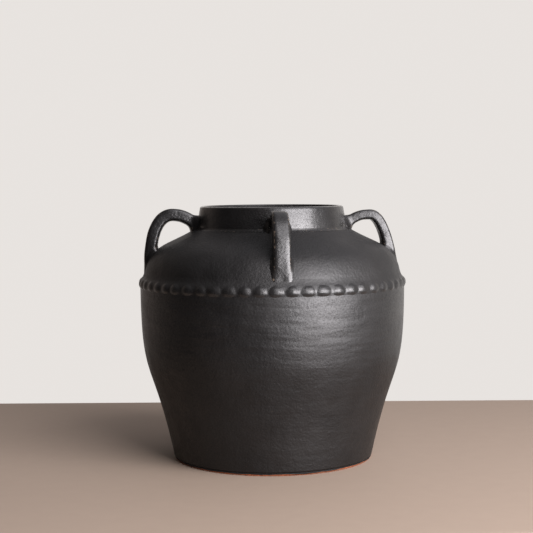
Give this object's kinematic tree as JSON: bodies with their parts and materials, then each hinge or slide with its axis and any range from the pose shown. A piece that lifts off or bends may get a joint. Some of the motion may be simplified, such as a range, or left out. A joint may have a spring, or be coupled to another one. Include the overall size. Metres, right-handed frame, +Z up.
{
  "type": "clay pot",
  "caption": "Black-glazed clay pot with a straight-sided belly, a beaded band at the shoulder seam, strap handles from collar to shoulder and a short wide neck.",
  "frame": {"origin": "centre of the flat underside, on the surface the pot stands on", "axes": "+Z up along the axis the pot was turned on; -Y towards the handle that faces the viewer in the picture"},
  "size_m": [0.266, 0.266, 0.2513],
  "materials": {
    "black_glaze": "satin",
    "bare_clay": "matte"
  },
  "bodies": {
    "root": {"base_disc": "bare_clay", "floor_coil": "black_glaze", "body_wall": "black_glaze", "seam_coil": "black_glaze", "shoulder": "black_glaze", "neck_collar": "black_glaze", "beaded_band": "black_glaze", "handle_front": "black_glaze", "upper_luting_front": "black_glaze", "lower_luting_front": "black_glaze", "handle_right": "black_glaze", "upper_luting_right": "black_glaze", "lower_luting_right": "black_glaze", "handle_back": "black_glaze", "upper_luting_back": "black_glaze", "lower_luting_back": "black_glaze", "handle_left": "black_glaze", "upper_luting_left": "black_glaze", "lower_luting_left": "black_glaze"}
  },
  "joints": []
}
